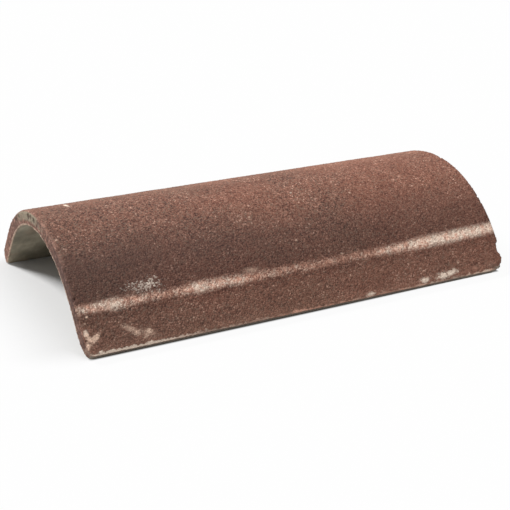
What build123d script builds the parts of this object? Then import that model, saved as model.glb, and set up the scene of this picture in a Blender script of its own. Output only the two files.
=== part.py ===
from build123d import *
import os
from math import atan2, cos, radians, sin

# Driving dimensions of the round ridge tile, in millimetres and degrees.
tile_length = 450.0  # the standard length, end to end
crown_radius = 134.5  # outside radius of the arched crown
wall = 14.5  # thickness of the concrete, the same all round
arc_half_angle = 51.0  # where the arc ends and the straight skirts begin
skirt_length = 42.0  # straight skirt, from the end of the arc to the foot
arris_wear = 1.3  # radius that the outer arrises of the ends and feet are worn to

# The rubbed corner, at the left end of the front skirt: worn round through the wall.
rub_run = 6.5  # along the foot
rub_rise = 13.0  # up the skirt
rub_bulge = 1.6  # how far the wear stands proud of a straight line

# The ragged end, at the right of the front skirt: small breaks through the wall.
flake_top = 29.0  # upper end of the flake, up the skirt
flake_shoulder = 24.5  # where the flake has most of its depth, up the skirt
flake_shoulder_depth = 3.8  # its depth there, in from the end
flake_low = 18.0  # where the flake is deepest, up the skirt
flake_depth = 4.8  # its depth there
lump_rise = 12.0  # place of the lump left below the flake, up the skirt
lump_depth = 2.4  # how far the lump stands back from the end
nick_rise = 4.0  # place of the nick below the lump, up the skirt
nick_depth = 5.0  # depth of the nick, in from the end
nick_run = 11.0  # where the nick runs out, along the foot

# The spall, where the arris beside that nick has come away and left bare concrete.
spall_run = 34.0  # along the foot
spall_rise = 7.5  # up the skirt, at the end
spall_depth = 5.0  # in along the foot's face, at the end

# Derived places. X runs along the tile, Y across it and Z up. The origin is on the
# floor under the middle of the tile, which rests on the inner arrises of its feet.
skirt_across = cos(radians(arc_half_angle))
skirt_down = sin(radians(arc_half_angle))
inner_radius = crown_radius - wall
arc_centre_height = skirt_length * skirt_down - inner_radius * skirt_across
half_length = tile_length / 2
overshoot = 2.0  # how far a cutting shape reaches past what it cuts
touch = 0.001  # a point this near the outer face is on it


def arc_point(radius, angle):
    """Point of the section on a circle about the arc's centre, angle from the crown."""
    return (radius * sin(radians(angle)), arc_centre_height + radius * cos(radians(angle)))


def skirt_point(side, rise, depth):
    """Point of the section this far up a skirt from its foot, and this deep in the wall."""
    radius = crown_radius - depth
    down = skirt_length - rise
    across, height = arc_point(radius, side * arc_half_angle)
    return (across + side * down * skirt_across, height - down * skirt_down)


def depth_in_wall(point):
    """Depth of a point below the outer face, square to that face."""
    across = abs(point.Y)
    height = point.Z - arc_centre_height
    angle = min(atan2(across, height), radians(arc_half_angle))
    return crown_radius - across * sin(angle) - height * cos(angle)


def front_skirt_plane(end):
    """Plane on the outer face of the front skirt, its origin at the foot of the end at -1 or 1.

    Its x runs in along the foot and its y up the skirt.
    """
    across, height = skirt_point(-1, 0, 0)
    inwards = Vector(-end, 0, 0)
    up_skirt = Vector(0, skirt_across, skirt_down)
    return Plane(origin=(end * half_length, across, height), x_dir=inwards, z_dir=inwards.cross(up_skirt))


with BuildPart() as ridge_tile:
    # Section: one arc with a straight skirt tangent to it each side, and square-cut feet.
    with BuildSketch(Plane.YZ.offset(-half_length)):
        with BuildLine():
            outer_front = arc_point(crown_radius, -arc_half_angle)
            outer_back = arc_point(crown_radius, arc_half_angle)
            inner_front = arc_point(inner_radius, -arc_half_angle)
            inner_back = arc_point(inner_radius, arc_half_angle)
            ThreePointArc(outer_front, arc_point(crown_radius, 0), outer_back)
            Polyline(outer_back, skirt_point(1, 0, 0), skirt_point(1, 0, wall), inner_back)
            ThreePointArc(inner_back, arc_point(inner_radius, 0), inner_front)
            Polyline(inner_front, skirt_point(-1, 0, wall), skirt_point(-1, 0, 0), outer_front)
        make_face()
    extrude(amount=tile_length)

    # Worn arrises: the outer edges of both ends, and the outer edge of each foot.
    outer_edges = ridge_tile.edges().filter_by(lambda edge: abs(depth_in_wall(edge @ 0.5)) < touch)
    long_edges = outer_edges.filter_by(Axis.X)
    foot_edges = long_edges.group_by(Axis.Z)[0]
    end_edges = outer_edges - long_edges
    fillet(end_edges + foot_edges, radius=arris_wear)

    # Rubbed corner: everything outside a shallow arc between the foot and the end.
    with BuildSketch(front_skirt_plane(-1)):
        with BuildLine():
            towards_corner = Vector(-rub_rise, -rub_run).normalized()
            middle = Vector(rub_run, rub_rise) / 2 + towards_corner * rub_bulge
            ThreePointArc((rub_run, 0), middle, (0, rub_rise))
            Polyline(
                (0, rub_rise),
                (-overshoot, rub_rise),
                (-overshoot, -overshoot),
                (rub_run, -overshoot),
                (rub_run, 0),
            )
        make_face()
    extrude(amount=wall + overshoot, both=True, mode=Mode.SUBTRACT)

    # Ragged end: the flake, the lump below it and the nick at the foot.
    with BuildSketch(front_skirt_plane(1)):
        with BuildLine():
            Polyline(
                (-overshoot, flake_top),
                (0, flake_top),
                (flake_shoulder_depth, flake_shoulder),
                (flake_depth, flake_low),
                (lump_depth, lump_rise),
                (nick_depth, nick_rise),
                (nick_run, 0),
                (nick_run, -overshoot),
                (-overshoot, -overshoot),
                close=True,
            )
        make_face()
    extrude(amount=wall + overshoot, both=True, mode=Mode.SUBTRACT)

    # Spall: a wedge off the arris of the foot, from the end to a point along the foot.
    with BuildSketch(Plane.YZ.offset(half_length), mode=Mode.PRIVATE) as spall:
        with BuildLine():
            Polyline(
                skirt_point(-1, spall_rise, 0),
                skirt_point(-1, spall_rise, -overshoot),
                skirt_point(-1, -overshoot, -overshoot),
                skirt_point(-1, -overshoot, spall_depth),
                skirt_point(-1, 0, spall_depth),
                close=True,
            )
        make_face()
    across, height = skirt_point(-1, 0, 0)
    loft(sections=[spall.sketch.face(), Vertex(half_length - spall_run, across, height)], mode=Mode.SUBTRACT)

print("height", round(arc_point(crown_radius, 0)[1], 2), "width", round(2 * skirt_point(1, 0, 0)[0], 2))

ridge_tile.part.label = "ridge_tile"
os.makedirs("parts", exist_ok=True)
export_step(ridge_tile.part, "parts/ridge_tile.step")
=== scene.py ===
import math
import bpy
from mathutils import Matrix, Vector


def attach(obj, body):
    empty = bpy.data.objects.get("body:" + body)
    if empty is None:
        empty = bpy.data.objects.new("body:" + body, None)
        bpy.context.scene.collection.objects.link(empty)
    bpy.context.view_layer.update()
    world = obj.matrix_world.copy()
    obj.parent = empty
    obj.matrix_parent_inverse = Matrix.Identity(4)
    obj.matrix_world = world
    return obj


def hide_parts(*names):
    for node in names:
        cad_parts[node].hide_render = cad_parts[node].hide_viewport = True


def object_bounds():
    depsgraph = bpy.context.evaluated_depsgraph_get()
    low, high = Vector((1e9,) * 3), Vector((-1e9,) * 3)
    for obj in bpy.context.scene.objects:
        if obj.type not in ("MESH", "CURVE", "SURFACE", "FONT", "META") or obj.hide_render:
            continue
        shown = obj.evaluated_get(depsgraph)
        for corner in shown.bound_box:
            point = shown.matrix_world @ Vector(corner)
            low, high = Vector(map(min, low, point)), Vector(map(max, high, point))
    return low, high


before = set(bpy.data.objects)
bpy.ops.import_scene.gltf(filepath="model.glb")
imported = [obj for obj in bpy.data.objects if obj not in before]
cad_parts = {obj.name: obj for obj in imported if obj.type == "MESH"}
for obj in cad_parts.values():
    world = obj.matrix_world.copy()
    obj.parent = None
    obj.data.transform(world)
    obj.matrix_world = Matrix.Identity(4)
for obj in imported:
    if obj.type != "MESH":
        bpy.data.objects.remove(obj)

from types import SimpleNamespace

import bpy
from mathutils import Matrix, Vector

cadLow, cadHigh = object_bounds()

# The tile's own sizes in metres, the same as its solid's.
tile = dict(
    length=cadHigh.x - cadLow.x,
    crownRadius=0.1345,
    wall=0.0145,
    halfAngle=math.radians(51),
    skirt=0.042,
    arcSteps=72,
    arris=0.0011,
    arrisSteps=4,
    crownArris=0.0024,  # the left end is worn rounder over its crown
    crownArrisMiddle=0.2,  # at this angle from the crown line
    crownArrisReach=0.45,  # and this far to each side of it
    edgeTouch=1e-4,  # a point this near an edge is on it
    faceTouch=2e-4,  # and this near a face
)

halfLength = tile["length"] / 2
innerRadius = tile["crownRadius"] - tile["wall"]
skirtAcross = math.cos(tile["halfAngle"])
skirtDown = math.sin(tile["halfAngle"])
arcCentre = tile["skirt"] * skirtDown - innerRadius * skirtAcross  # height of the arc's centre
footAcross = tile["crownRadius"] * skirtDown + tile["skirt"] * skirtAcross
footHeight = arcCentre + tile["crownRadius"] * skirtAcross - tile["skirt"] * skirtDown
arcLength = tile["crownRadius"] * tile["halfAngle"]
faceLength = arcLength + tile["skirt"]  # from the crown line to a foot, over the face


def deselectAll():
    if bpy.context.mode != "OBJECT":
        bpy.ops.object.mode_set(mode="OBJECT")
    bpy.ops.object.select_all(action="DESELECT")


def makeActive(piece):
    deselectAll()
    piece.select_set(True)
    bpy.context.view_layer.objects.active = piece


def applyModifier(piece, kind, **settings):
    makeActive(piece)
    modifier = piece.modifiers.new(kind.title(), kind)
    for name, value in settings.items():
        setattr(modifier, name, value)
    bpy.ops.object.modifier_apply(modifier=modifier.name)


def editSelected(piece, wanted):
    # into edit mode, with the faces selected that the test picks
    makeActive(piece)
    bpy.ops.object.mode_set(mode="EDIT")
    bpy.ops.mesh.select_mode(type="FACE")
    bpy.ops.mesh.select_all(action="DESELECT")
    bpy.ops.object.mode_set(mode="OBJECT")
    for face in piece.data.polygons:
        face.select = wanted(face)
    bpy.ops.object.mode_set(mode="EDIT")


def upSkirt(side):
    return Vector((0, -side * skirtAcross, skirtDown))


def intoSkirt(side):
    return Vector((0, -side * skirtDown, -skirtAcross))


def onSkirt(side, end, along, rise, deep=0.0):
    # a point on the front (-1) or back (1) skirt: in from an end, up from the foot, into the wall
    foot = Vector((end * (halfLength - along), side * footAcross, footHeight))
    return foot + upSkirt(side) * rise + intoSkirt(side) * deep


def depthInWall(point):
    height = point.z - arcCentre
    angle = min(math.atan2(abs(point.y), height), tile["halfAngle"])
    return tile["crownRadius"] - abs(point.y) * math.sin(angle) - height * math.cos(angle)


# The section is drawn out from one foot, up the skirt, round the crown and down again.
def makeArch():
    deselectAll()
    centre = onSkirt(-1, 1, halfLength, 0, tile["wall"] / 2)
    turn = (tile["halfAngle"] - math.pi / 2, 0, 0)
    bpy.ops.mesh.primitive_plane_add(size=1, location=centre, rotation=turn)
    arch = bpy.context.object
    arch.name = "ridge_tile_body"
    arch.scale = (tile["length"], tile["wall"], 1)
    bpy.ops.object.transform_apply(location=True, rotation=True, scale=True)
    bpy.ops.object.mode_set(mode="EDIT")
    bpy.ops.mesh.select_all(action="SELECT")
    bpy.ops.mesh.extrude_region_move(TRANSFORM_OT_translate={"value": upSkirt(-1) * tile["skirt"]})
    bpy.ops.mesh.spin(
        steps=tile["arcSteps"],
        angle=2 * tile["halfAngle"],
        center=(0, 0, arcCentre),
        axis=(1, 0, 0),
    )
    bpy.ops.mesh.extrude_region_move(TRANSFORM_OT_translate={"value": upSkirt(1) * -tile["skirt"]})
    bpy.ops.mesh.select_all(action="SELECT")
    bpy.ops.mesh.remove_doubles(threshold=1e-6)
    bpy.ops.mesh.normals_make_consistent(inside=False)
    bpy.ops.object.mode_set(mode="OBJECT")
    return arch


# The outer edges of both ends and both feet are worn round, the left crown the most.
def wearArrises(arch):
    mesh = arch.data
    weights = mesh.attributes.new("bevel_weight_edge", "FLOAT", "EDGE")
    for edge in mesh.edges:
        first, second = (mesh.vertices[i].co for i in edge.vertices)
        middle = (first + second) / 2
        atEnd = abs(middle.x) > halfLength - tile["edgeTouch"]
        atFoot = abs(abs(middle.y) - footAcross) < tile["edgeTouch"]
        if abs(depthInWall(middle)) < tile["faceTouch"] and (atEnd or atFoot):
            turn = math.atan2(middle.y, middle.z - arcCentre) - tile["crownArrisMiddle"]
            leftCrown = atEnd and middle.x < 0 and abs(turn) < tile["crownArrisReach"]
            weights.data[edge.index].value = 1.0 if leftCrown else tile["arris"] / tile["crownArris"]
    applyModifier(
        arch,
        "BEVEL",
        width=tile["crownArris"],
        segments=tile["arrisSteps"],
        limit_method="WEIGHT",
    )


# Broken and rubbed places. The outlines lie on the front skirt, in from the end and up from
# the foot. A spall is a side, an end, its run along the foot, its rise up the skirt and its
# depth in the foot. A pit in the left end is its place across, its height and its radius.
damage = dict(
    raggedEnd=(
        (0, 0.029),
        (0.0036, 0.0248),
        (0.0044, 0.0215),
        (0.0048, 0.018),
        (0.0031, 0.0145),
        (0.0022, 0.0115),
        (0.0038, 0.0075),
        (0.0052, 0.0045),
        (0.0048, 0.0022),
        (0.0112, 0),
    ),
    rubbedCorner=(
        (0, 0.0135),
        (0.0006, 0.0115),
        (0.0018, 0.0061),
        (0.0031, 0.003),
        (0.0046, 0.001),
        (0.0068, 0),
    ),
    spalls=((-1, 1, 0.034, 0.0075, 0.005), (1, -1, 0.04, 0.007, 0.0065)),
    pits=(
        (0.0690, 0.0677, 0.0026),
        (0.0580, 0.0735, 0.0018),
        (0.0253, 0.0845, 0.0030),
        (0.0175, 0.0860, 0.0022),
        (0.0075, 0.0860, 0.0026),
        (-0.0020, 0.0835, 0.0017),
    ),
    pitShape=(0.7, 1.25, 0.8),  # a pit is shallow and wider than it is high
    overshoot=0.003,  # how far a cutter reaches past what it cuts
)


def makeCutter(name, end, outline):
    # a prism through the wall: its outline is drawn point by point, filled and pulled inwards
    reach = damage["overshoot"]
    outline = list(outline)
    outline += [(outline[-1][0], -reach), (-reach, -reach), (-reach, outline[0][1])]
    places = [onSkirt(-1, end, along, rise, -reach) for along, rise in outline]
    deselectAll()
    bpy.ops.mesh.primitive_plane_add(size=0.001, location=places[0])
    cutter = bpy.context.object
    cutter.name = name
    bpy.ops.object.transform_apply(location=True, rotation=True, scale=True)
    bpy.ops.object.mode_set(mode="EDIT")
    bpy.ops.mesh.select_mode(type="VERT")
    bpy.ops.mesh.select_all(action="SELECT")
    bpy.ops.mesh.merge(type="CENTER")
    for before, after in zip(places, places[1:]):
        bpy.ops.mesh.extrude_region_move(TRANSFORM_OT_translate={"value": after - before})
    bpy.ops.mesh.select_all(action="SELECT")
    bpy.ops.mesh.edge_face_add()
    through = intoSkirt(-1) * (tile["wall"] + 2 * reach)
    bpy.ops.mesh.extrude_region_move(TRANSFORM_OT_translate={"value": through})
    bpy.ops.mesh.select_all(action="SELECT")
    bpy.ops.mesh.normals_make_consistent(inside=False)
    bpy.ops.object.mode_set(mode="OBJECT")
    return cutter


def makePit(name, place, radius):
    deselectAll()
    bpy.ops.mesh.primitive_ico_sphere_add(subdivisions=3, radius=radius, location=place)
    pit = bpy.context.object
    pit.name = name
    bpy.ops.object.transform_apply(location=True, rotation=True, scale=True)
    bpy.ops.object.mode_set(mode="EDIT")
    bpy.ops.mesh.select_all(action="SELECT")
    bpy.ops.transform.resize(value=damage["pitShape"], center_override=place)
    bpy.ops.object.mode_set(mode="OBJECT")
    return pit


def cutAway(piece, cutter):
    applyModifier(piece, "BOOLEAN", operation="DIFFERENCE", solver="EXACT", object=cutter)
    bpy.data.objects.remove(cutter)


def breakEnds(arch):
    for side, end, run, rise, depth in damage["spalls"]:
        # one flat break across the arris of the foot
        corner = onSkirt(side, end, 0, rise)
        inFoot = onSkirt(side, end, 0, 0, depth)
        tip = onSkirt(side, end, run, 0)
        outwards = (inFoot - corner).cross(tip - corner).normalized()
        if outwards.y * side < 0:
            outwards = -outwards
        makeActive(arch)
        bpy.ops.object.mode_set(mode="EDIT")
        bpy.ops.mesh.select_all(action="SELECT")
        bpy.ops.mesh.bisect(plane_co=tip, plane_no=outwards, use_fill=True, clear_outer=True)
        bpy.ops.object.mode_set(mode="OBJECT")
    cutAway(arch, makeCutter("ragged_end_cutter", 1, damage["raggedEnd"]))
    cutAway(arch, makeCutter("rubbed_corner_cutter", -1, damage["rubbedCorner"]))
    for number, (across, height, radius) in enumerate(damage["pits"]):
        cutAway(arch, makePit("pit_cutter_%d" % number, Vector((-halfLength, across, height)), radius))


# Roughness that stands in the mesh itself: its size, how far it reaches, and the level of the
# pattern that leaves the surface where it is. The chips are only cut where it falls below the
# upper value of their reach.
relief = dict(
    waves=dict(size=0.028, height=0.0005, level=0.5),
    grains=dict(size=0.0015, height=0.0010, level=0.5),
    chips=dict(size=0.0045, height=0.0013, level=1.0, reach=(0.2, 0.4)),
    broken=dict(size=0.0035, height=0.0024, level=0.55),
    mould=dict(size=0.009, height=0.0004, level=0.5),
)

# The finished surface, and the parts of it that each roughness has.
surface = dict(
    grid=0.001,  # size of the faces while the surface is roughened
    smoothing=0.5,
    outsideShare=0.35,  # share of the faces that is kept afterwards, outside
    undersideShare=0.08,  # and on the smoother underside
    footReach=0.004,  # how far up a foot is drawn down to the floor
    wavesFrom=0.012,  # the waves have their full height above this, and none at the floor
    underDepth=0.0012,  # the underside: this near the inner face
    underInset=0.0025,  # and this far in from the ends
    chipInset=0.003,  # the chipped arrises: this near an end
    chipOutside=0.002,  # and this near the outer face
    chipInside=0.003,  # or the inner one
    brokenRun=0.036,  # the broken corner: this far in from the right end
    brokenRise=0.03,  # and this far up the skirt
    brokenDepth=0.0012,  # it starts below the coat
    brokenEnd=(0.0009, 0.012),  # the flake and the nick, in from the end
    brokenFoot=(0.0012, 0.009),  # the spall, up the skirt
    brokenFootDepth=0.0065,
)


def isUnder(point):
    inside = abs(point.x) < halfLength - surface["underInset"]
    return depthInWall(point) > tile["wall"] - surface["underDepth"] and inside


def isBroken(point):
    along = halfLength - point.x
    rise = (point - onSkirt(-1, 1, halfLength, 0)).dot(upSkirt(-1))
    depth = depthInWall(point)
    if point.y > 0 or along > surface["brokenRun"] or rise > surface["brokenRise"]:
        return False
    if depth < surface["brokenDepth"]:
        return False
    if surface["brokenEnd"][0] < along < surface["brokenEnd"][1]:
        return True
    inFoot = surface["brokenFoot"][0] < rise < surface["brokenFoot"][1]
    return inFoot and depth < surface["brokenFootDepth"]


def nearArris(point):
    depth = depthInWall(point)
    atFace = depth > tile["wall"] - surface["chipInside"] or depth < surface["chipOutside"]
    return atFace and halfLength - abs(point.x) <= surface["chipInset"]


def weigh(piece, name, share):
    group = piece.vertex_groups.new(name=name)
    for vertex in piece.data.vertices:
        weight = float(share(vertex.co))
        if weight > 0:
            group.add([vertex.index], min(weight, 1.0), "REPLACE")


def roughen(piece, name, share):
    weigh(piece, name, share)
    texture = bpy.data.textures.new(name, "CLOUDS")
    texture.noise_scale = relief[name]["size"]
    if "reach" in relief[name]:
        texture.use_color_ramp = True
        for stop, position, level in zip(texture.color_ramp.elements, relief[name]["reach"], (0, 1)):
            stop.position = position
            stop.color = (level, level, level, 1)
    applyModifier(
        piece,
        "DISPLACE",
        texture=texture,
        texture_coords="LOCAL",
        direction="NORMAL",
        strength=relief[name]["height"],
        mid_level=relief[name]["level"],
        vertex_group=name,
    )


def thinOut(piece, wanted, share):
    editSelected(piece, wanted)
    bpy.ops.mesh.decimate(ratio=share)
    bpy.ops.object.mode_set(mode="OBJECT")


def finishMesh(arch):
    applyModifier(arch, "REMESH", mode="VOXEL", voxel_size=surface["grid"], use_smooth_shade=True)
    applyModifier(arch, "SMOOTH", factor=surface["smoothing"], iterations=1)
    roughen(arch, "chips", nearArris)
    roughen(arch, "broken", isBroken)
    roughen(arch, "waves", lambda point: point.z / surface["wavesFrom"])
    roughen(arch, "grains", lambda point: not isUnder(point))
    roughen(arch, "mould", isUnder)
    print("roughened:", len(arch.data.polygons), "faces")
    thinOut(arch, lambda face: isUnder(face.center), surface["undersideShare"])
    thinOut(arch, lambda face: not isUnder(face.center), surface["outsideShare"])
    makeActive(arch)
    bpy.ops.object.mode_set(mode="EDIT")
    bpy.ops.mesh.select_all(action="SELECT")
    bpy.ops.mesh.normals_make_consistent(inside=False)
    bpy.ops.object.mode_set(mode="OBJECT")
    # the worn feet are drawn down until they bear on the floor
    lowest = min(vertex.co.z for vertex in arch.data.vertices)
    for vertex in arch.data.vertices:
        share = max(1 - vertex.co.z / surface["footReach"], 0)
        vertex.co.z = max(vertex.co.z - lowest * share, 0)
    arch.vertex_groups.clear()
    makeActive(arch)
    bpy.ops.object.shade_smooth()


arch = makeArch()
wearArrises(arch)
breakEnds(arch)
print("arch with worn and broken edges:", len(arch.data.polygons), "faces")
finishMesh(arch)
print("finished mesh:", len(arch.data.polygons), "faces")


class Wire:
    # wraps a node's output, so that shader maths is written as plain expressions
    def __init__(self, tree, output=None):
        self.tree = tree
        self.output = output

    def node(self, kind, settings=None, inputs=None, output=0):
        # any node: its settings are set first, then the values or links of its sockets
        made = self.tree.nodes.new(kind)
        for name, value in (settings or {}).items():
            if name == "stops":
                ramp = made.color_ramp
                while len(ramp.elements) < len(value):
                    ramp.elements.new(1.0)
                for element, (place, colour) in zip(ramp.elements, value):
                    element.position = place
                    element.color = colour
            else:
                setattr(made, name, value)
        for name, value in (inputs or {}).items():
            if isinstance(value, Wire):
                self.tree.links.new(value.output, made.inputs[name])
            else:
                made.inputs[name].default_value = value
        return Wire(self.tree, made.outputs[output])

    def also(self, name):
        # another output of the same node
        return Wire(self.tree, self.output.node.outputs[name])

    def maths(self, operation, *values):
        return self.node("ShaderNodeMath", {"operation": operation}, dict(enumerate(values)))

    def __add__(self, other):
        return self.maths("ADD", self, other)

    def __radd__(self, other):
        return self.maths("ADD", other, self)

    def __sub__(self, other):
        return self.maths("SUBTRACT", self, other)

    def __rsub__(self, other):
        return self.maths("SUBTRACT", other, self)

    def __mul__(self, other):
        return self.maths("MULTIPLY", self, other)

    def __rmul__(self, other):
        return self.maths("MULTIPLY", other, self)

    def __truediv__(self, other):
        return self.maths("DIVIDE", self, other)

    def __abs__(self):
        return self.maths("ABSOLUTE", self)

    def atLeast(self, limit):
        return self.maths("MAXIMUM", self, limit)

    def atMost(self, limit):
        return self.maths("MINIMUM", self, limit)

    def smooth(self, low, high):
        # 0 below the low value, 1 above the high one, and eased between them
        limits = {0: self, 1: low, 2: high}
        return self.node("ShaderNodeMapRange", {"interpolation_type": "SMOOTHSTEP"}, limits)

    def fall(self, low, high):
        # the other way round: 1 below the low value and 0 above the high one
        return 1.0 - self.smooth(low, high)

    def blend(self, under, over):
        # the over colour laid on the under colour by this much
        return self.node("ShaderNodeMix", {"data_type": "RGBA"}, {0: self, 6: under, 7: over}, 2)


def paint(red, green, blue):
    # a colour as a screen shows it, 0 to 255, turned into the linear one that a node takes
    parts = (red / 255, green / 255, blue / 255)
    return tuple(v / 12.92 if v <= 0.04045 else ((v + 0.055) / 1.055) ** 2.4 for v in parts) + (1.0,)


# Lengths are in metres. "Around" is the distance from the crown line over the face to either
# side, and "down" is the same with the back side negative. A pair of numbers says where
# something starts and where it is full.
noiseRoughness = 0.55
patterns = dict(  # size, detail and seed of each random pattern
    broad=(0.022, 3.0, 1.0),
    fine=(0.004, 2.0, 5.0),
    warmth=(0.09, 2.0, 9.0),
    coolness=(0.07, 2.0, 10.0),
    grimeAndShade=(0.013, 3.0, 13.0),
    bandSpots=(0.003, 3.0, 3.0),
    bandWander=(0.03, 2.0, 2.0),
    bandPatches=(0.012, 3.0, 2.5),
    ragged=(0.005, 3.0, 6.0),
    footGlow=(0.03, 2.0, 7.0),
    footChips=(0.009, 3.0, 24.0),
    wornTint=(0.007, 3.0, 16.0),
    stainEdge=(0.0028, 3.0, 4.0),
    speckle=(0.0022, 2.0, 21.0),
    crownRim=(0.008, 3.0, 23.0),
    mottle=(0.011, 4.0, 8.0),
    endSpots=(0.005, 3.0, 18.0),
    patchSide=(0.008, 3.0, 11.0),
    patchDepth=(0.006, 3.0, 19.0),
    innerArris=(0.012, 2.0, 14.0),
    underTone=(0.03, 4.0, 17.0),
    rust=(0.04, 4.0, 15.0),
    streaks=(0.007, 4.0, 20.0),
    tooth=(0.0006, 2.0, 12.0),
)


def noise(at, name, shift=0.0):
    # the shift moves the pattern, so that two uses of it don't agree
    size, detail, seed = patterns[name]
    inputs = {"Vector": at.place, "W": seed + shift, "Scale": 1 / size, "Detail": detail}
    inputs["Roughness"] = noiseRoughness
    return at.place.node("ShaderNodeTexNoise", {"noise_dimensions": "4D"}, inputs)


def cells(place, size):
    return place.node("ShaderNodeTexVoronoi", inputs={"Vector": place, "Scale": 1 / size})


def onlyRed(colour):
    return colour.node("ShaderNodeSeparateColor", inputs={0: colour})


# The coat: sand grains with painted shade in the gaps and pits, then broad drifts of tone, grime mixed
# with painted shade lower on the arc and away from the crown, darkening towards the left end, and
# dust, which on the back of the crown is also a painted sheen.
coat = dict(
    grainSize=0.00135,
    grains=(
        (0.00, paint(53, 33, 27)),
        (0.12, paint(83, 52, 42)),
        (0.34, paint(115, 76, 62)),
        (0.60, paint(138, 97, 80)),
        (0.77, paint(119, 101, 87)),
        (0.85, paint(156, 112, 95)),
        (0.95, paint(173, 132, 114)),
        (1.00, paint(210, 172, 152)),
    ),
    grainShare=0.86,
    driftShare=1.15,
    broadShare=0.45,
    fineShare=0.55,
    start=0.06,
    # painted shade: the dark colour laid in the gaps between grains and in the pits
    creviceShade=paint(46, 31, 28),
    gap=(0.4, 0.95),  # how far a point is from the middle of its grain
    gapShare=0.68,
    pitSize=0.0023,
    pitPick=(0.07, 0.13),  # which of the pattern's cells are pits
    pitReach=(0.25, 0.6),
    pitShare=0.85,
    warm=paint(158, 96, 75),
    warmEdge=(0.45, 0.85),
    warmToRight=0.3,
    warmShare=0.2,
    cool=paint(98, 78, 64),
    coolEdge=(0.35, 0.75),
    coolDown=1.2,
    coolToLeft=0.25,
    coolShare=0.22,
    # grime, also laid as painted shade on the arc and the end faces
    grimeAndShade=paint(74, 52, 46),
    lowArc=(0.035, 0.09),  # the dark lower part of the arc, around
    lowArcEnd=(0.108, 0.124),
    lowArcShare=0.36,
    lowArcToLeft=0.16,
    grimeEdge=(0.5, 0.8),
    grimeShare=0.14,
    leftArc=(0.02, 0.05),  # the dark middle of the arc towards the left end, around
    leftArcEnd=(0.08, 0.1),
    leftArcShare=0.14,
    leftShare=0.1,
    leftReach=(0.0, 0.7),
    # painted shade: darker further from the crown line, on both sides
    sideArc=(0.04, 0.1),
    sideShare=0.13,
    dustAndSheen=paint(206, 154, 130),
    skirtDust=(0.126, 0.138),
    skirtDustShare=0.07,
    footDust=(0.002, 0.010),
    footDustShare=0.10,
    # painted sheen as well as dust: the back of the crown is paler
    backDustAndSheen=(0.002, 0.03),
    backDustAndSheenShare=0.09,
)


def findPlaces(start):
    # where a point lies on the tile, and which grain it is in
    place = start.node("ShaderNodeTexCoord", output="Object")
    along = start.node("ShaderNodeSeparateXYZ", inputs={0: place})
    across = along.also("Y")
    height = along.also("Z") - arcCentre
    angle = start.maths("ARCTAN2", abs(across), height).atMost(tile["halfAngle"])
    sideways = abs(across) * start.maths("SINE", angle)
    skirtRun = (abs(across) * skirtAcross - height * skirtDown).atLeast(0.0)
    around = tile["crownRadius"] * angle + skirtRun
    grainShape = cells(place, coat["grainSize"])
    pitShape = cells(place, coat["pitSize"])
    pitPick = onlyRed(pitShape.also("Color"))
    return SimpleNamespace(
        place=place,
        along=along,
        across=across,
        height=height,
        depth=tile["crownRadius"] - sideways - height * start.maths("COSINE", angle),
        around=around,
        down=around * start.maths("SIGN", across * -1.0),
        fromEnd=halfLength - abs(along),
        fromFoot=faceLength - around,
        share=along / tile["length"] + 0.5,  # 0 at the left end and 1 at the right one
        grainShape=grainShape,
        grain=onlyRed(grainShape.also("Color")),
        pitted=pitPick.fall(*coat["pitPick"]) * pitShape.fall(*coat["pitReach"]),
    )


def paintCoat(at):
    drift = noise(at, "broad") * coat["broadShare"] + noise(at, "fine") * coat["fineShare"]
    pick = at.grain * coat["grainShare"] + (drift - 0.5) * coat["driftShare"] + coat["start"]
    colour = at.place.node("ShaderNodeValToRGB", {"stops": coat["grains"]}, {0: pick})
    # painted shade in the gaps between the grains and in the pits
    colour = (at.grainShape.smooth(*coat["gap"]) * coat["gapShare"]).blend(colour, coat["creviceShade"])
    colour = (at.pitted * coat["pitShare"]).blend(colour, coat["creviceShade"])
    warmth = (noise(at, "warmth") + at.share * coat["warmToRight"]).smooth(*coat["warmEdge"])
    colour = (warmth * coat["warmShare"]).blend(colour, coat["warm"])
    coolness = noise(at, "coolness") + at.down * coat["coolDown"] - at.share * coat["coolToLeft"]
    colour = (coolness.smooth(*coat["coolEdge"]) * coat["coolShare"]).blend(colour, coat["cool"])
    # darker over the lower part of the arc, partly grime and partly painted shade, further from the
    # crown line, and towards the left end
    lowArc = at.around.smooth(*coat["lowArc"]) * at.around.fall(*coat["lowArcEnd"])
    grimeAndShade = lowArc * (coat["lowArcShare"] - at.share * coat["lowArcToLeft"])
    grimeAndShade = grimeAndShade + noise(at, "grimeAndShade").smooth(*coat["grimeEdge"]) * coat["grimeShare"]
    leftArc = at.around.smooth(*coat["leftArc"]) * at.around.fall(*coat["leftArcEnd"])
    leftDarkening = leftArc * coat["leftArcShare"] + coat["leftShare"]
    grimeAndShade = grimeAndShade + at.share.fall(*coat["leftReach"]) * leftDarkening
    grimeAndShade = grimeAndShade + at.around.smooth(*coat["sideArc"]) * coat["sideShare"]
    colour = grimeAndShade.blend(colour, coat["grimeAndShade"])
    dustAndSheen = at.around.smooth(*coat["skirtDust"]) * coat["skirtDustShare"]
    dustAndSheen = dustAndSheen + at.fromFoot.fall(*coat["footDust"]) * coat["footDustShare"]
    # on the back of the crown, a painted sheen as well as dust
    dustAndSheen = dustAndSheen + (at.down * -1.0).smooth(*coat["backDustAndSheen"]) * coat["backDustAndSheenShare"]
    return dustAndSheen.blend(colour, coat["dustAndSheen"])


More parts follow.
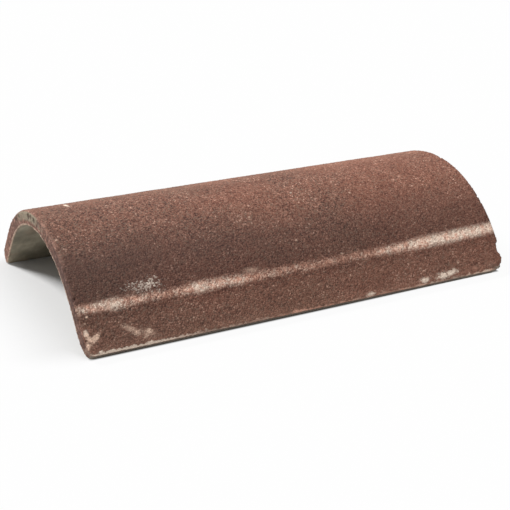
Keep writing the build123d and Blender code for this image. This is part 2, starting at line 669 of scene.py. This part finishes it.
# The light worn band along the kink, thinner or thicker from grain to grain.
band = dict(
    worn=paint(255, 233, 213),
    wornDark=paint(248, 186, 160),
    down=0.1206,  # place of its middle
    drift=0.0024,  # how much higher it lies at the right end
    driftReach=(0.7, 1.05),
    width=0.0064,
    spread=0.0026,  # how much wider it is where it is worn the most
    spreadReach=(0.5, 1.0),
    wander=0.003,
    patches=0.65,
    spots=3.6,
    grainSpots=1.2,
    faintSpots=1.1,
    fullSpots=0.65,  # how much of the spots is lost where it is worn the most
    tintReach=(0.25, 0.85),
    tintShare=1.2,
    tintStart=0.16,
    tintGrains=0.35,
    tintFaint=0.4,
    tintLevel=0.6,
    backStrength=0.65,
    backShare=0.85,
    backShift=20.0,
    stops=(  # place along the tile as a share of it, and how worn
        (0.00, 0.44),
        (0.08, 0.86),
        (0.14, 0.46),
        (0.20, 0.32),
        (0.25, 0.86),
        (0.36, 0.58),
        (0.42, 0.30),
        (0.55, 0.30),
        (0.60, 0.22),
        (0.65, 0.30),
        (0.73, 0.68),
        (0.80, 0.92),
        (0.92, 1.00),
        (1.00, 0.90),
    ),
)


def makeBand(at, distance, strength, fade, shift):
    width = band["width"] + strength.smooth(*band["spreadReach"]) * band["spread"]
    middle = band["down"] - at.share.smooth(*band["driftReach"]) * band["drift"]
    spots = (at.grain - 0.5) * band["grainSpots"] + (noise(at, "bandSpots") - 0.5) * band["spots"]
    off = distance - middle + (noise(at, "bandWander", shift) - 0.5) * band["wander"]
    body = (abs(off) / width).fall(0.0, 1.0)
    patches = strength * fade + (noise(at, "bandPatches", shift) - 0.5) * band["patches"]
    spotted = 1.0 + spots * (band["faintSpots"] - strength * band["fullSpots"])
    return (patches * body * spotted).atMost(1.0).atLeast(0.0)


def paintBands(at, colour):
    stops = [(x, (v, v, v, 1)) for x, v in band["stops"]]
    strength = onlyRed(at.place.node("ShaderNodeValToRGB", {"stops": stops}, {0: at.share}))
    tint = noise(at, "wornTint") * band["tintShare"] + (1.0 - at.grain) * band["tintGrains"]
    tint = tint - band["tintStart"] + (band["tintLevel"] - strength) * band["tintFaint"]
    worn = tint.smooth(*band["tintReach"]).blend(band["worn"], band["wornDark"])
    front = makeBand(at, at.down, strength, 1.0, 0.0)
    back = makeBand(at, at.down * -1.0, strength, band["backStrength"], band["backShift"])
    colour = front.blend(colour, worn)
    return (back * band["backShare"]).blend(colour, worn), worn


# Separate light patches and specks, each where the photo has one.
stains = dict(
    worn=band["worn"],
    wornDark=band["wornDark"],
    cement=paint(222, 205, 190),
    beige=paint(242, 206, 182),
    foot=paint(126, 116, 105),
    reach=(0.25, 1.45),  # where a stain fades out, in parts of its own size
    edge=1.3,
    edgeGrains=0.8,
    speckle=5.0,
    speckleGrains=2.4,
    places=(  # along, down, half length, half width, turn in degrees, strength, colour
        (-0.1590, 0.1100, 0.0085, 0.0036, 4, 0.60, "cement"),
        (-0.1515, 0.1068, 0.0036, 0.0030, 0, 0.75, "cement"),
        (-0.2214, 0.1415, 0.0022, 0.0026, 0, 0.85, "worn"),
        (-0.2200, 0.1455, 0.0055, 0.0020, 65, 0.95, "beige"),
        (-0.2152, 0.1476, 0.0052, 0.0025, -35, 0.95, "beige"),
        (-0.2222, 0.1525, 0.0046, 0.0019, -65, 0.90, "beige"),
        (-0.1815, 0.1455, 0.0072, 0.0026, 35, 0.48, "beige"),
        (-0.1770, 0.1502, 0.0026, 0.0022, 0, 0.45, "beige"),
        (-0.1655, 0.1500, 0.0028, 0.0024, 20, 0.75, "beige"),
        (-0.1665, 0.1520, 0.0070, 0.0034, 20, 0.25, "beige"),
        (-0.1695, 0.1545, 0.0030, 0.0018, 0, 0.50, "beige"),
        (-0.2172, 0.1275, 0.0011, 0.0009, 0, 0.80, "beige"),
        (-0.2200, 0.1330, 0.0010, 0.0008, 0, 0.60, "beige"),
        (0.1240, 0.1580, 0.0056, 0.0028, -5, 0.85, "worn"),
        (0.1475, 0.1572, 0.0072, 0.0036, -5, 0.90, "worn"),
        (0.1590, 0.1558, 0.0060, 0.0028, -15, 0.85, "worn"),
        (0.1690, 0.1470, 0.0014, 0.0010, 0, 0.50, "beige"),
        (0.1870, 0.1560, 0.0030, 0.0018, 0, 0.25, "wornDark"),
        (0.0610, 0.1600, 0.0050, 0.0020, 0, 0.80, "worn"),
        (0.0440, 0.1150, 0.0014, 0.0011, 0, 0.50, "beige"),
        (-0.0550, 0.1140, 0.0070, 0.0026, 0, 0.35, "beige"),
        (0.2080, 0.1570, 0.0060, 0.0022, 0, 0.25, "foot"),
        (-0.2200, 0.0450, 0.0014, 0.0012, 0, 0.50, "beige"),
        (0.0250, 0.0320, 0.0012, 0.0010, 0, 0.55, "worn"),
        (0.0850, 0.0470, 0.0012, 0.0010, 0, 0.45, "beige"),
        (0.0020, 0.0930, 0.0013, 0.0010, 0, 0.45, "beige"),
        (-0.0330, 0.0570, 0.0012, 0.0010, 0, 0.45, "beige"),
        (-0.1878, -0.0260, 0.0016, 0.0070, 0, 0.80, "worn"),
    ),
)


def paintStains(at, colour):
    grains = at.grain - 0.5
    edge = (noise(at, "stainEdge") - 0.5) * stains["edge"] + grains * stains["edgeGrains"]
    speckle = (noise(at, "speckle") - 0.5) * stains["speckle"] + grains * stains["speckleGrains"]
    for x, y, halfLong, halfWide, turn, strength, name in stains["places"]:
        turned = math.radians(turn)
        offAlong = at.along - x
        offDown = at.down - y
        long = (offAlong * math.cos(turned) + offDown * math.sin(turned)) / halfLong
        wide = (offDown * math.cos(turned) - offAlong * math.sin(turned)) / halfWide
        away = at.place.maths("SQRT", long * long + wide * wide)
        away = away + (speckle if name == "cement" else edge)
        colour = (away.fall(*stains["reach"]) * strength).blend(colour, stains[name])
    return colour


# Worn arrises, broken up by the grains: the light strip along each foot, and a painted highlight along
# the rounded rim over the crown.
wearAndHighlight = dict(
    ragged=0.006,
    raggedGrains=0.001,
    glowToLeft=(0.05, 0.4),  # the strip is lighter towards the left end
    glowLeftShare=0.4,
    glowEdge=(0.45, 0.75),
    chips=0.006,
    chipsLevel=0.48,
    leftRise=0.0012,  # and it reaches higher there
    leftReach=(0.0, 0.3),
    strip=(0.0002, 0.0016),
    stripDepth=(0.0024, 0.0040),
    stripFaint=0.36,
    stripGlow=0.64,
    stripShare=0.9,
    stripTint=(0.1, 0.5),
    rim=(0.0005, 0.0045),
    # painted highlight along the rounded rim over the crown
    rimHeight=0.108,
    rimRise=(0.0, 0.012),
    rimEdge=(0.35, 0.7),
    rimShare=0.4,
    rimHighlight=paint(168, 130, 116),
)


def findWear(at):
    at.ragged = (noise(at, "ragged") - 0.5) * wearAndHighlight["ragged"] + (at.grain - 0.5) * wearAndHighlight["raggedGrains"]
    glow = noise(at, "footGlow") + at.share.fall(*wearAndHighlight["glowToLeft"]) * wearAndHighlight["glowLeftShare"]
    glow = glow.smooth(*wearAndHighlight["glowEdge"])
    chips = (noise(at, "footChips") - wearAndHighlight["chipsLevel"]) * wearAndHighlight["chips"]
    rise = at.fromFoot + at.ragged + chips
    rise = rise - glow * at.share.fall(*wearAndHighlight["leftReach"]) * wearAndHighlight["leftRise"]
    strip = rise.fall(*wearAndHighlight["strip"]) * (wearAndHighlight["stripFaint"] + glow * wearAndHighlight["stripGlow"])
    at.footWear = strip * at.depth.fall(*wearAndHighlight["stripDepth"])


def paintWearAndHighlight(at, colour, worn):
    tint = at.share.smooth(*wearAndHighlight["stripTint"]).blend(band["worn"], worn)
    colour = (at.footWear * wearAndHighlight["stripShare"]).blend(colour, tint)
    # painted highlight along the rounded rim over the crown
    rim = at.fromEnd.fall(*wearAndHighlight["rim"]) * (at.height - wearAndHighlight["rimHeight"]).smooth(*wearAndHighlight["rimRise"])
    rim = rim * noise(at, "crownRim").smooth(*wearAndHighlight["rimEdge"]) * wearAndHighlight["rimShare"]
    return rim.blend(colour, wearAndHighlight["rimHighlight"])


# Concrete without its coat, where the tile is broken and on the feet.
broken = dict(
    bare=paint(172, 158, 142),
    bareDark=paint(124, 110, 98),
    foot=paint(126, 116, 105),
    stoneSize=0.0026,
    stoneShare=0.4,
    mottleShare=0.6,
    mottleEdge=(0.25, 0.75),
    onFoot=(0.0010, 0.0018),
    footShare=0.85,
    footRight=(0.75, 1.0),  # towards the break the foot is as pale as the rest
    footRightShare=0.6,
    leftCoat=(0.010, 0.014),  # the rubbed corner still has most of its coat
    leftCoatShare=0.75,
    wrap=0.0035,  # how far the coat runs on under the foot
    wrapEnd=(0.82, 0.9),
    coat=(0.0012, 0.0020),  # thickness of the coat
    coatGrains=0.0006,
)


def paintBroken(at, colour, coatColour):
    tone = noise(at, "mottle") * broken["mottleShare"]
    tone = tone + onlyRed(cells(at.place, broken["stoneSize"]).also("Color")) * broken["stoneShare"]
    bare = tone.smooth(*broken["mottleEdge"]).blend(broken["bare"], broken["bareDark"])
    onFoot = at.fromFoot.fall(*broken["onFoot"])
    pale = at.share.smooth(*broken["footRight"]) * broken["footRightShare"]
    bare = (onFoot * (broken["footShare"] - pale)).blend(bare, broken["foot"])
    atLeft = (at.along + halfLength).fall(*broken["leftCoat"])
    bare = (atLeft * (1.0 - onFoot) * broken["leftCoatShare"]).blend(bare, coatColour)
    wrap = onFoot * at.share.fall(*broken["wrapEnd"]) * broken["wrap"]
    inWall = at.depth + (at.grain - 0.5) * broken["coatGrains"] - wrap
    inWall = inWall.smooth(*broken["coat"]) * (1.0 - at.footWear)
    return inWall.blend(colour, bare)


# The end faces: a thin coat with dark and light spots under painted shade, more of it on the front
# leg, an olive patch by the left crown, the pits, and the inner arris worn light.
endFace = dict(
    fromEnd=(0.0009, 0.0017),
    depth=(0.0006, 0.0016),
    coat=paint(168, 130, 116),
    darkSpots=(0.38, 0.52),
    # painted shade over the whole end face
    shadeStart=0.1,
    darkShare=0.55,
    lightSpots=(0.52, 0.66),
    lightShare=0.7,
    # painted shade on the end of the front leg
    frontLegShade=(0.03, 0.06),  # the front leg is darker
    frontLegShadeShare=0.45,
    patch=paint(134, 127, 108),
    patchAcross=0.028,
    patchReach=0.04,
    patchRagged=1.6,
    patchEdge=(0.4, 1.2),
    patchDepth=(0.0075, 0.011),
    patchDepthRagged=0.006,
    patchFoot=0.1,
    patchRise=(0.0, 0.01),
    patchLeft=(0.0, 0.1),
    patchShare=0.75,
    pitRagged=0.4,
    pitReach=(0.7, 1.5),  # in parts of the pit's radius
    pitShare=0.8,
    inner=paint(224, 198, 174),
    innerDepth=(0.0024, 0.0010),  # how far from the inner face it starts and is full
    innerFromEnd=(0.0008, 0.0018),
    innerNoise=0.8,
    innerGrains=0.4,
    innerEdge=(0.25, 0.65),
    innerShare=0.6,
)


def paintEnds(at, colour, coatColour):
    spots = noise(at, "endSpots")
    # painted shade over the end face, with darker spots
    dark = endFace["shadeStart"] + spots.fall(*endFace["darkSpots"]) * endFace["darkShare"]
    end = dark.blend(coatColour, coat["grimeAndShade"])
    end = (spots.smooth(*endFace["lightSpots"]) * endFace["lightShare"]).blend(end, endFace["coat"])
    # painted shade: the end of the front leg is darker
    frontLegShade = (at.across * -1.0).smooth(*endFace["frontLegShade"])
    end = (frontLegShade * endFace["frontLegShadeShare"]).blend(end, coat["grimeAndShade"])
    side = abs((at.across - endFace["patchAcross"]) / endFace["patchReach"])
    side = side + (noise(at, "patchSide") - 0.5) * endFace["patchRagged"]
    depth = at.depth + (noise(at, "patchDepth") - 0.5) * endFace["patchDepthRagged"]
    patch = side.fall(*endFace["patchEdge"]) * depth.fall(*endFace["patchDepth"])
    patch = patch * (at.height - endFace["patchFoot"]).smooth(*endFace["patchRise"])
    patch = patch * (at.along * -1.0).smooth(*endFace["patchLeft"])
    end = (patch * endFace["patchShare"]).blend(end, endFace["patch"])
    for across, height, radius in damage["pits"]:
        sockets = {0: at.place, 1: (-halfLength, across, height)}
        away = at.place.node("ShaderNodeVectorMath", {"operation": "DISTANCE"}, sockets, "Value")
        reach = [radius * part for part in endFace["pitReach"]]
        pit = (away + at.ragged * endFace["pitRagged"]).fall(*reach)
        # painted shade in the pits of the end face
        end = (pit * endFace["pitShare"]).blend(end, coat["creviceShade"])
    atEnd = at.fromEnd.fall(*endFace["fromEnd"]) * at.depth.smooth(*endFace["depth"])
    colour = atEnd.blend(colour, end)
    innerReach = [tile["wall"] - gap for gap in endFace["innerDepth"]]
    inner = at.depth.smooth(*innerReach) * at.fromEnd.fall(*endFace["innerFromEnd"])
    worn = noise(at, "innerArris") * endFace["innerNoise"] + at.grain * endFace["innerGrains"]
    inner = inner * worn.smooth(*endFace["innerEdge"]) * endFace["innerShare"]
    return inner.blend(colour, endFace["inner"])


# The underside: plain smooth concrete, mottled, with rust tones and streaks.
underside = dict(
    plain=paint(174, 164, 143),
    dark=paint(120, 113, 97),
    rust=paint(150, 118, 96),
    depth=(0.0009, 0.0003),  # how far from the inner face it starts and is full
    fromEnd=(0.0006, 0.0014),
    toneEdge=(0.35, 0.7),
    rustEdge=(0.48, 0.7),
    rustShare=0.6,
    streakEdge=(0.35, 0.7),
    streakShare=0.35,
    grains=0.14,
    grainsLevel=0.3,
)


def findUnderside(at):
    reach = [tile["wall"] - gap for gap in underside["depth"]]
    at.under = at.depth.smooth(*reach) * at.fromEnd.smooth(*underside["fromEnd"])


def paintUnderside(at, colour):
    tone = noise(at, "underTone").smooth(*underside["toneEdge"])
    under = tone.blend(underside["plain"], underside["dark"])
    rust = noise(at, "rust").smooth(*underside["rustEdge"])
    under = (rust * underside["rustShare"]).blend(under, underside["rust"])
    streaks = noise(at, "streaks").smooth(*underside["streakEdge"]) * underside["streakShare"]
    streaks = streaks + (at.grain - underside["grainsLevel"]) * underside["grains"]
    under = streaks.blend(under, underside["dark"])
    return at.under.blend(colour, under)


# The sheen and the fine tooth of the surface, both less on the smooth underside.
finish = dict(
    roughness=0.88,
    underSheen=0.08,
    specular=0.3,
    underSmooth=0.8,
    pitDeep=0.8,
    toothShare=0.35,
    bumpStrength=0.8,
    bumpDistance=0.0006,
)


def makeConcrete():
    material = bpy.data.materials.new("granular concrete")
    material.use_nodes = True
    tree = material.node_tree
    at = findPlaces(Wire(tree))
    findWear(at)
    findUnderside(at)
    coatColour = paintCoat(at)
    colour, worn = paintBands(at, coatColour)
    colour = paintStains(at, colour)
    colour = paintWearAndHighlight(at, colour, worn)
    colour = paintBroken(at, colour, coatColour)
    colour = paintEnds(at, colour, coatColour)
    colour = paintUnderside(at, colour)
    rough = 1.0 - at.under * finish["underSmooth"]
    height = (1.0 - at.grainShape) * rough - at.pitted * finish["pitDeep"] * rough
    height = height + noise(at, "tooth") * finish["toothShare"]
    bump = {"Strength": finish["bumpStrength"], "Distance": finish["bumpDistance"], "Height": height}
    normal = at.place.node("ShaderNodeBump", inputs=bump)
    roughness = finish["roughness"] - at.under * finish["underSheen"]
    shader = tree.nodes["Principled BSDF"]
    shader.inputs["Specular IOR Level"].default_value = finish["specular"]
    for name, value in (("Base Color", colour), ("Roughness", roughness), ("Normal", normal)):
        tree.links.new(value.output, shader.inputs[name])
    return material


arch.data.materials.clear()
arch.data.materials.append(makeConcrete())
print("concrete material made")

# The white table is pale paint that looks white to the camera, but for the shade under the
# tile and beside its left opening.
studio = dict(
    keyTowards=Vector((-0.48, 0.374, 0.795)),
    keySpread=0.33,
    keyStrength=4.3,
    ambient=0.38,
    floorColour=(0.57, 0.57, 0.57, 1),
    floorRoughness=0.9,
    floorSpecular=0.1,
    floorSize=14.0,
    floorWhite=0.96,  # share of plain white outside the tile's shade
    leftStart=0.205,  # where the white starts to the left of the middle
    leftFade=0.09,  # and how far the shade beside the left opening reaches
    rightInset=0.0025,
    rightFade=0.003,
    frontFade=0.0035,
    frontToRight=(0.0, 0.2),
    frontRightShift=0.0015,
    besideReach=(0.215, 0.235),  # left of the tile the shade runs out further to the front
    besideShift=0.035,
    besideFade=0.045,
    backFade=0.03,
    cameraPlace=Vector((-0.4896, -0.9416, 0.4519)),
    yaw=math.radians(27.6),
    pitch=math.radians(22.43),
    roll=math.radians(0.66),
    focalLength=78.64,
    sensorWidth=36,
)


def plainlySeen(start):
    # what meets the camera, a reflection or clear glass, but lights nothing
    camera = start.node("ShaderNodeLightPath", output="Is Camera Ray")
    return camera.atLeast(camera.also("Is Glossy Ray")).atLeast(camera.also("Is Transmission Ray"))


def beyond(distance, fade):
    return distance.atLeast(0.0) / fade


def findShade(start):
    # 0 at the tile's shade, and 1 where the floor is as white as it gets
    place = start.node("ShaderNodeTexCoord", output="Object")
    along = start.node("ShaderNodeSeparateXYZ", inputs={0: place})
    across = along.also("Y")
    contact = footAcross - tile["wall"] * skirtDown
    left = beyond(along * -1.0 - studio["leftStart"], studio["leftFade"])
    right = beyond(along - halfLength + studio["rightInset"], studio["rightFade"])
    beside = (along * -1.0).smooth(*studio["besideReach"])
    toRight = along.smooth(*studio["frontToRight"]) * studio["frontRightShift"]
    front = across * -1.0 - contact + beside * studio["besideShift"] + toRight
    front = beyond(front, beside * studio["besideFade"] + studio["frontFade"])
    back = beyond(across - contact, studio["backFade"])
    away = start.maths("SQRT", left * left + right * right + front * front + back * back)
    return away.smooth(0.0, 1.0)


def makeFloor():
    deselectAll()
    bpy.ops.mesh.primitive_plane_add(size=studio["floorSize"], location=(0, 0, 0))
    floor = bpy.context.object
    floor.name = "studio_floor"
    material = bpy.data.materials.new("pale floor")
    material.use_nodes = True
    material.cycles.emission_sampling = "NONE"
    tree = material.node_tree
    shader = tree.nodes["Principled BSDF"]
    shader.inputs["Base Color"].default_value = studio["floorColour"]
    shader.inputs["Roughness"].default_value = studio["floorRoughness"]
    shader.inputs["Specular IOR Level"].default_value = studio["floorSpecular"]
    start = Wire(tree)
    white = start.node("ShaderNodeEmission", inputs={"Color": (1, 1, 1, 1), "Strength": 1.0})
    factor = findShade(start) * plainlySeen(start) * studio["floorWhite"]
    sockets = {0: factor, 1: Wire(tree, shader.outputs[0]), 2: white}
    mixed = start.node("ShaderNodeMixShader", inputs=sockets)
    tree.links.new(mixed.output, tree.nodes["Material Output"].inputs["Surface"])
    floor.data.materials.append(material)
    return floor


def makeLights():
    key = bpy.data.lights.new("key light", "SUN")
    key.energy = studio["keyStrength"]
    key.angle = studio["keySpread"]
    keyObject = bpy.data.objects.new("key light", key)
    keyObject.rotation_euler = studio["keyTowards"].to_track_quat("Z", "Y").to_euler()
    bpy.context.scene.collection.objects.link(keyObject)
    world = bpy.data.worlds.new("studio")
    world.use_nodes = True
    bpy.context.scene.world = world
    tree = world.node_tree
    background = tree.nodes["Background"]
    background.inputs["Color"].default_value = (1, 1, 1, 1)
    strength = plainlySeen(Wire(tree)) * (1 - studio["ambient"]) + studio["ambient"]
    tree.links.new(strength.output, background.inputs["Strength"])


def makeCamera():
    camera = bpy.data.objects.new("camera", bpy.data.cameras.new("camera"))
    camera.data.lens = studio["focalLength"]
    camera.data.sensor_width = studio["sensorWidth"]
    turn = Matrix.Rotation(-studio["yaw"], 4, "Z")
    turn = turn @ Matrix.Rotation(math.pi / 2 - studio["pitch"], 4, "X")
    turn = turn @ Matrix.Rotation(studio["roll"], 4, "Z")
    camera.matrix_world = Matrix.Translation(studio["cameraPlace"]) @ turn
    bpy.context.scene.collection.objects.link(camera)
    bpy.context.scene.camera = camera


floor = makeFloor()
makeLights()
makeCamera()
bpy.context.scene.view_settings.view_transform = "Standard"

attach(arch, "root")
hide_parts("ridge_tile")
bpy.context.view_layer.update()
